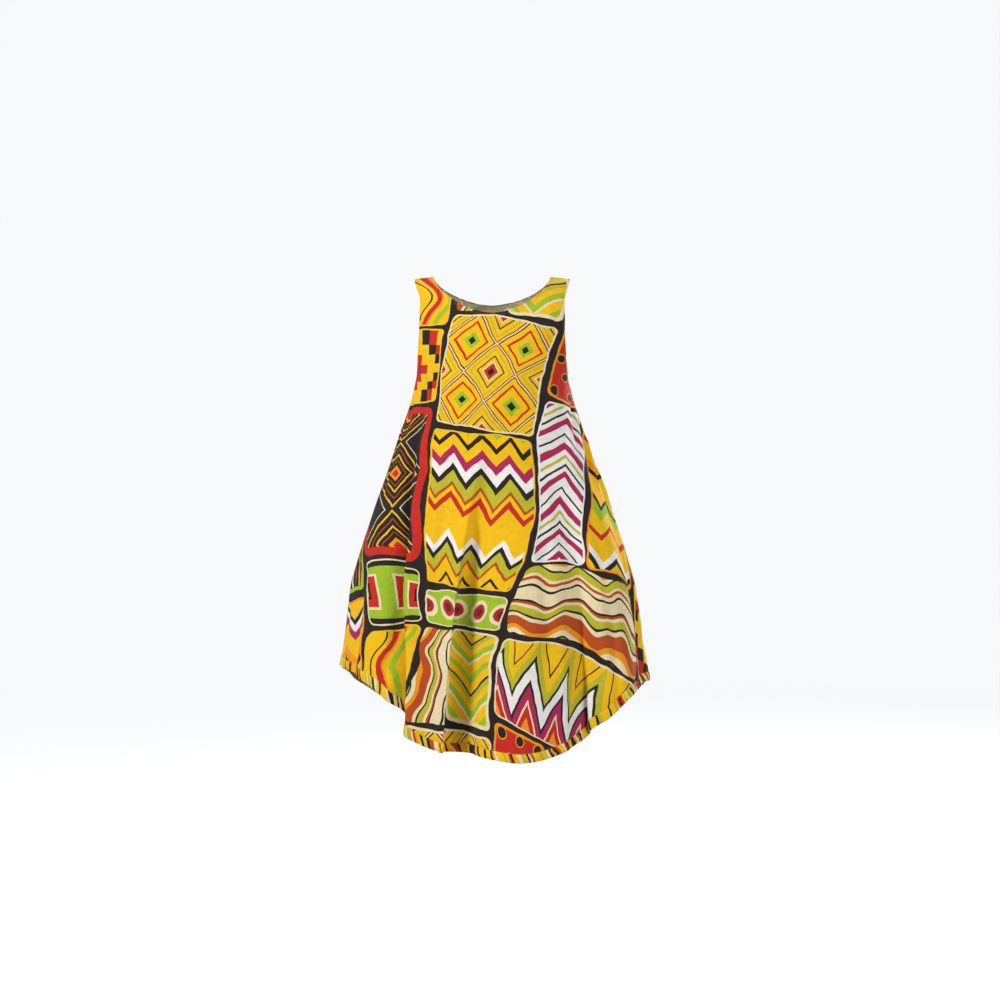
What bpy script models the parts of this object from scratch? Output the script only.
"""A sleeveless trapeze dress, hollow, as it hangs when it is worn, with nobody in it.

Metres, +Z up. The front faces -Y and +X is at the right of someone who looks at it. The origin is midway
between the straps on the shoulder line, where the dress is held up.

Each panel is a loft through level sections. A place on it has a share, from -1 at the left side seam through
0 on the centre line to 1 at the right side seam, and a height, which is negative below the shoulder line.
"""

import bisect
import functools
import math
from collections import namedtuple

import bmesh
import bpy
from mathutils import Vector

# Cloth and seams
WALL = 0.0015
SEAM_GAP = 0.0003
STRIP_WIDTH = 0.017

# Shoulder
STRAP_INNER = 0.125
STRAP_SLOPE = 0.12
SLOPE_ENDS = 0.20
RIDGE = 0.10

# Neckline and armhole
NECK_CURVE = 1.6
ARM_SHARE_AT_SHOULDER = 0.80
ARM_SHARE = 0.69
ARM_EASE = 0.05
ARM_CURVE_TOP = 0.10
UNDERARM = 0.235
CHEST_LINE = 0.16
ARM_ROWS_END = 0.11

# The left side hangs a little closer lower down, because the long fold takes up its cloth
LEFT_WIDTH = 0.985
LEFT_FULL = -0.50
MIDDLE_SHARE = 0.3

# How a fold moves across the panel on its way down, and where it has its full depth
FOLD_DRIFT = 1.6
FOLD_ONSET = 0.7
FOLDS_FULL = -0.94
SEAM_CALM = 10

# Rows and columns of the loft. Below the chest the columns crowd together on the folds.
NECK_ROWS = 7
ARM_ROWS = 5
SKIRT_ROWS = 15
CROWDING = 2.0
CROWD_SPREAD = 1.1
CROWDED_FROM = 0.3
COLUMN_STEPS = 200
SETTLING_PASSES = 3

# Small steps along the surface, in shares and metres, for its slopes
HEM_STEP = 0.004
NORMAL_STEP = 1e-4

Section = namedtuple("Section", "height half_width front_depth back_depth squareness")
SECTIONS = (
    Section(0.000, 0.175, 0.070, 0.075, 0.60),
    Section(-0.080, 0.175, 0.088, 0.092, 0.62),
    Section(-0.150, 0.175, 0.105, 0.110, 0.68),
    Section(-0.235, 0.168, 0.128, 0.114, 0.78),
    Section(-0.350, 0.204, 0.138, 0.114, 0.88),
    Section(-0.500, 0.257, 0.152, 0.136, 0.95),
    Section(-0.640, 0.303, 0.168, 0.158, 1.00),
    Section(-0.700, 0.313, 0.175, 0.166, 1.00),
    Section(-0.780, 0.323, 0.183, 0.177, 1.00),
    Section(-0.865, 0.337, 0.191, 0.187, 1.00),
    Section(-1.030, 0.356, 0.206, 0.204, 1.00),
)

HemPoint = namedtuple("HemPoint", "share height")
FRONT_HEM = (
    HemPoint(-1.000, -0.832),
    HemPoint(-0.820, -0.838),
    HemPoint(-0.665, -0.847),
    HemPoint(-0.545, -0.866),
    HemPoint(-0.465, -0.892),
    HemPoint(-0.400, -0.923),
    HemPoint(-0.300, -0.967),
    HemPoint(-0.240, -0.992),
    HemPoint(-0.160, -1.001),
    HemPoint(-0.085, -1.002),
    HemPoint(0.000, -1.012),
    HemPoint(0.100, -1.019),
    HemPoint(0.210, -1.011),
    HemPoint(0.340, -0.985),
    HemPoint(0.485, -0.938),
    HemPoint(0.620, -0.893),
    HemPoint(0.800, -0.869),
    HemPoint(1.000, -0.864),
)
BACK_HEM = (
    HemPoint(-1.000, -0.832),
    HemPoint(-0.660, -0.874),
    HemPoint(-0.360, -0.960),
    HemPoint(0.000, -1.014),
    HemPoint(0.360, -0.976),
    HemPoint(0.660, -0.898),
    HemPoint(1.000, -0.864),
)

# Shares are of the panel's half. A positive depth stands out and a negative one goes in, and lean is how far
# the fold's edge is pushed towards the right seam, or with a minus towards the left one.
Fold = namedtuple("Fold", "top_share hem_share half_width depth lean start sharpness")
FRONT_FOLDS = (
    Fold(-0.80, -0.56, 0.170, 0.014, 0.000, -0.30, 1.0),
    Fold(-0.64, -0.375, 0.085, -0.024, 0.030, -0.25, 1.0),
    Fold(-0.57, -0.305, 0.075, 0.020, -0.020, -0.22, 1.2),
    Fold(-0.06, -0.205, 0.080, 0.022, 0.000, -0.32, 1.4),
    Fold(0.02, -0.120, 0.085, -0.026, 0.000, -0.34, 1.0),
    Fold(0.20, 0.120, 0.230, 0.020, 0.000, -0.30, 1.0),
    Fold(0.42, 0.385, 0.120, -0.016, 0.000, -0.36, 1.0),
    Fold(0.66, 0.620, 0.200, 0.016, 0.000, -0.32, 1.0),
)
BACK_FOLDS = (
    Fold(-0.74, -0.64, 0.160, 0.024, 0.000, -0.24, 1.0),
    Fold(-0.52, -0.44, 0.105, -0.024, 0.000, -0.30, 1.0),
    Fold(-0.36, -0.27, 0.110, 0.026, 0.012, -0.20, 1.2),
    Fold(-0.14, -0.09, 0.100, -0.022, 0.000, -0.34, 1.0),
    Fold(0.08, 0.09, 0.120, 0.024, 0.000, -0.26, 1.1),
    Fold(0.28, 0.28, 0.090, -0.026, 0.000, -0.28, 1.0),
    Fold(0.42, 0.43, 0.095, 0.028, -0.012, -0.21, 1.3),
    Fold(0.62, 0.59, 0.090, -0.018, 0.000, -0.36, 1.0),
    Fold(0.76, 0.75, 0.120, 0.018, 0.000, -0.27, 1.0),
)

Panel = namedtuple("Panel", "name facing neck_drop folds hem left_columns right_columns colour")
FRONT = Panel("front", -1, 0.086, FRONT_FOLDS, FRONT_HEM, 31, 18, (0.90, 0.55, 0.02, 1.0))
BACK = Panel("back", 1, 0.055, BACK_FOLDS, BACK_HEM, 22, 24, (0.86, 0.50, 0.02, 1.0))
STRIP_COLOUR = (0.62, 0.16, 0.03, 1.0)
CLOTH_ROUGHNESS = 0.85


def smooth_through(places, values, at):
    """Reads a smooth curve through values at rising places. It stays level past both ends."""
    at = min(max(at, places[0]), places[-1])
    i = min(max(bisect.bisect_right(places, at) - 1, 0), len(places) - 2)

    def slope(k):
        low, high = max(k - 1, 0), min(k + 1, len(places) - 1)
        return (values[high] - values[low]) / (places[high] - places[low])

    span = places[i + 1] - places[i]
    t = (at - places[i]) / span
    rise = values[i + 1] - values[i]
    start, end = slope(i) * span, slope(i + 1) * span
    bend = (start - rise) * (1 - t) - (end - rise) * t
    return values[i] + rise * t + t * (1 - t) * bend


def ease(t):
    """Goes smoothly from 0 to 1."""
    t = min(max(t, 0.0), 1.0)
    return t * t * (3 - 2 * t)


def blend(a, b, t):
    return a + (b - a) * t


def section_value(column, height):
    rows = SECTIONS[::-1]
    return smooth_through([r.height for r in rows], [getattr(r, column) for r in rows], height)


def half_width(share, height):
    """The panel's half width on the share's side. The change between the sides is spread over the middle."""
    left = ease((MIDDLE_SHARE - share) / (2 * MIDDLE_SHARE)) * ease(height / LEFT_FULL)
    return section_value("half_width", height) * blend(1.0, LEFT_WIDTH, left)


def depth(panel, height):
    """How far the centre line stands from the seams' plane. Over the shoulder it falls to nothing in an arc."""
    below = min(-height / RIDGE, 1.0)
    arc = math.sqrt(max(1 - (1 - below) ** 2, 0.0))
    return section_value(panel.name + "_depth", height) * arc


def fold_share(fold, height):
    """Where a fold's crest or trough lies at a height, and how far it has grown there."""
    down = min(max((fold.start - height) / (fold.start - FOLDS_FULL), 0.0), 1.0)
    return blend(fold.hem_share, fold.top_share, (1 - down) ** FOLD_DRIFT), ease(down) ** FOLD_ONSET


def surface(panel, share, height):
    """The outer surface's point."""
    turn = share * math.pi / 2
    width, deep = half_width(share, height), depth(panel, height)
    across = width * math.sin(turn)
    out = deep * max(math.cos(turn), 0.0) ** section_value("squareness", height)
    normal = Vector((math.sin(turn) * deep, math.cos(turn) * width)).normalized()
    along = Vector((normal.y, -normal.x))
    calm = 1 - abs(share) ** SEAM_CALM
    for fold in panel.folds:
        centre, grown = fold_share(fold, height)
        u = (share - centre) / fold.half_width
        if abs(u) >= 1 or grown <= 0:
            continue
        swell = ((1 + math.cos(math.pi * u)) / 2) ** fold.sharpness * grown * calm
        across += swell * (fold.depth * normal.x + fold.lean * along.x)
        out += swell * (fold.depth * normal.y + fold.lean * along.y)
    outside_strap = max(abs(across) - STRAP_INNER, 0.0)
    fall = STRAP_SLOPE * outside_strap * (1 - ease(-height / SLOPE_ENDS))
    return Vector((across, panel.facing * (SEAM_GAP / 2 + max(out, 0.0)), height - fall))


def share_at(across, height):
    """The share at which the unfolded section is this far from the centre line."""
    return math.asin(min(across / section_value("half_width", height), 1.0)) * 2 / math.pi


def neck_edge(panel, row):
    """Share and height of the neckline's row, from the strap down to the centre line."""
    turn = row / NECK_ROWS * math.pi / 2
    height = -panel.neck_drop * math.sin(turn) ** (2 / NECK_CURVE)
    return share_at(STRAP_INNER * math.cos(turn) ** (2 / NECK_CURVE), height), height


def armhole_share(below):
    """The armhole's edge, by its distance below the shoulder: narrow at first, then a quarter round."""
    narrow = blend(ARM_SHARE_AT_SHOULDER, ARM_SHARE, ease(below / ARM_EASE))
    round_part = min(max((below - ARM_CURVE_TOP) / (UNDERARM - ARM_CURVE_TOP), 0.0), 1.0)
    return 1 - (1 - narrow) * math.sqrt(1 - round_part**2)


def row_ends(panel, row):
    """(share, height) of a row above the skirt, at the neck or centre line and at the armhole or side seam."""
    if row <= NECK_ROWS:
        below = ARM_ROWS_END * row / NECK_ROWS
        return neck_edge(panel, row), (armhole_share(below), -below)
    step = (row - NECK_ROWS) / ARM_ROWS
    start = math.asin((ARM_ROWS_END - ARM_CURVE_TOP) / (UNDERARM - ARM_CURVE_TOP))
    turn = blend(start, math.pi / 2, step)
    below = blend(ARM_CURVE_TOP, UNDERARM, math.sin(turn))
    inner = blend(panel.neck_drop, CHEST_LINE, step)
    return (0.0, -inner), (armhole_share(below), -below)


def column_count(panel, side):
    return panel.left_columns if side < 0 else panel.right_columns


@functools.lru_cache(maxsize=None)
def crowded_shares(panel, side, height):
    """Shares of one half's columns at a height, closer together on the folds, which they follow down."""
    columns = column_count(panel, side)
    weights = []
    for k in range(COLUMN_STEPS):
        share = side * (k + 0.5) / COLUMN_STEPS
        weight = 1.0
        for fold in panel.folds:
            centre, grown = fold_share(fold, height)
            near = (share - centre) / (fold.half_width * CROWD_SPREAD)
            steep = abs(fold.depth) + abs(fold.lean)
            weight += CROWDING * grown * steep / fold.half_width * math.exp(-near * near)
        weights.append(weight)
    each, reached, shares = sum(weights) / columns, 0.0, [0.0]
    for k, weight in enumerate(weights):
        reached += weight
        while len(shares) < columns and reached >= each * len(shares):
            over = (reached - each * len(shares)) / weight
            shares.append((k + 1 - over) / COLUMN_STEPS)
    return shares + [1.0]


def hem_height(panel, share):
    return smooth_through([p.share for p in panel.hem], [p.height for p in panel.hem], share)


def strip_rise(panel, share):
    """How high the hem strip's upper edge lies over the hem, so that the strip keeps its width on a slope."""
    low, high = max(share - HEM_STEP, -1.0), min(share + HEM_STEP, 1.0)
    a = surface(panel, low, hem_height(panel, low))
    b = surface(panel, high, hem_height(panel, high))
    level = math.hypot(b.x - a.x, b.y - a.y)
    return STRIP_WIDTH * math.hypot(level, b.z - a.z) / level


def half_rows(panel, side):
    """Places (share, height) of one half of the panel, row by row from the shoulder to the hem strip."""
    rows = []
    columns = column_count(panel, side)
    for row in range(NECK_ROWS + ARM_ROWS):
        (inner, inner_height), (outer, outer_height) = row_ends(panel, row)
        places = []
        for k in range(columns + 1):
            c = k / columns
            places.append((side * blend(inner, outer, c), blend(inner_height, outer_height, c)))
        rows.append(places)
    for row in range(SKIRT_ROWS + 1):
        down = row / SKIRT_ROWS
        places = []
        for k in range(columns + 1):
            c = k / columns
            top = blend(-CHEST_LINE, -UNDERARM, c)
            share = side * c
            for _ in range(SETTLING_PASSES):
                bottom = hem_height(panel, share) + strip_rise(panel, share)
                height = blend(top, bottom, down)
                crowded = crowded_shares(panel, side, round(height, 3))[k]
                share = side * blend(c, crowded, ease(down / CROWDED_FROM))
            places.append((share, height))
        rows.append(places)
    return rows


def strip_rows(panel, side):
    """Places of one half of the hem strip: its upper edge, just under the panel's, and the hem."""
    upper, lower = [], []
    columns = column_count(panel, side)
    for k in range(columns + 1):
        share = side * k / columns
        for _ in range(SETTLING_PASSES):
            hem = hem_height(panel, share)
            rise = strip_rise(panel, share)
            share = side * crowded_shares(panel, side, round(hem + rise, 3))[k]
        upper.append((share, hem + rise * (1 - SEAM_GAP / STRIP_WIDTH)))
        lower.append((share, hem))
    return [upper, lower]


def inner_point(panel, share, height):
    """The wall's inner point: the outer one moved in along the normal, and kept off the seams' plane."""
    left, right = max(share - NORMAL_STEP, -1), min(share + NORMAL_STEP, 1)
    across = surface(panel, right, height) - surface(panel, left, height)
    up = surface(panel, share, min(height + NORMAL_STEP, 0)) - surface(panel, share, height - NORMAL_STEP)
    outward = across.cross(up).normalized() * -panel.facing
    point = surface(panel, share, height) - outward * WALL
    if point.y * panel.facing < SEAM_GAP / 2:
        point.y = panel.facing * SEAM_GAP / 2
    return point


def wall(name, panel, halves, material, collection):
    """Makes a closed wall of two halves that meet on the centre line: an outer skin, an inner one, the rim."""
    bm = bmesh.new()
    pairs = {}

    def pair(place):
        share, height = place
        key = (round(share, 6), round(height, 6))
        if key not in pairs:
            pairs[key] = bm.verts.new(surface(panel, *place)), bm.verts.new(inner_point(panel, *place))
        return pairs[key]

    for rows in halves:
        for upper, lower in zip(rows, rows[1:]):
            for k in range(len(upper) - 1):
                corners = [pair(p) for p in (upper[k], upper[k + 1], lower[k + 1], lower[k])]
                bm.faces.new([outer for outer, _ in corners])
                bm.faces.new([inner for _, inner in reversed(corners)])
    inner_of = dict(pairs.values())
    for edge in [e for e in bm.edges if e.is_boundary and e.verts[0] in inner_of]:
        # Both pieces at a seam split their rims the same way, so that twisted rims can't cross.
        a, b = sorted(edge.verts, key=lambda vert: vert.co.x)
        bm.faces.new((a, b, inner_of[b]))
        bm.faces.new((a, inner_of[b], inner_of[a]))
    bmesh.ops.recalc_face_normals(bm, faces=bm.faces)
    mesh = bpy.data.meshes.new(name)
    bm.to_mesh(mesh)
    bm.free()
    mesh.materials.append(material)
    mesh.shade_smooth()
    mesh.set_sharp_from_angle(angle=math.radians(50))
    obj = bpy.data.objects.new(name, mesh)
    collection.objects.link(obj)
    return obj


def cloth(name, colour):
    material = bpy.data.materials.new(name)
    material.use_nodes = True
    shader = material.node_tree.nodes["Principled BSDF"]
    shader.inputs["Base Color"].default_value = colour
    shader.inputs["Roughness"].default_value = CLOTH_ROUGHNESS
    shader.inputs["Metallic"].default_value = 0.0
    return material


def build_panel(panel, collection):
    halves = [half_rows(panel, side) for side in (1, -1)]
    material = cloth(panel.name + "_cloth", panel.colour)
    return wall(panel.name + "_panel", panel, halves, material, collection)


def build_strip(panel, collection):
    halves = [strip_rows(panel, side) for side in (1, -1)]
    material = cloth(panel.name + "_strip_cloth", STRIP_COLOUR)
    return wall("hem_strip_" + panel.name, panel, halves, material, collection)


def main():
    for obj in list(bpy.data.objects):
        bpy.data.objects.remove(obj)
    collection = bpy.data.collections.new("trapeze_dress")
    bpy.context.scene.collection.children.link(collection)
    for panel in (FRONT, BACK):
        build_panel(panel, collection)
        build_strip(panel, collection)


main()
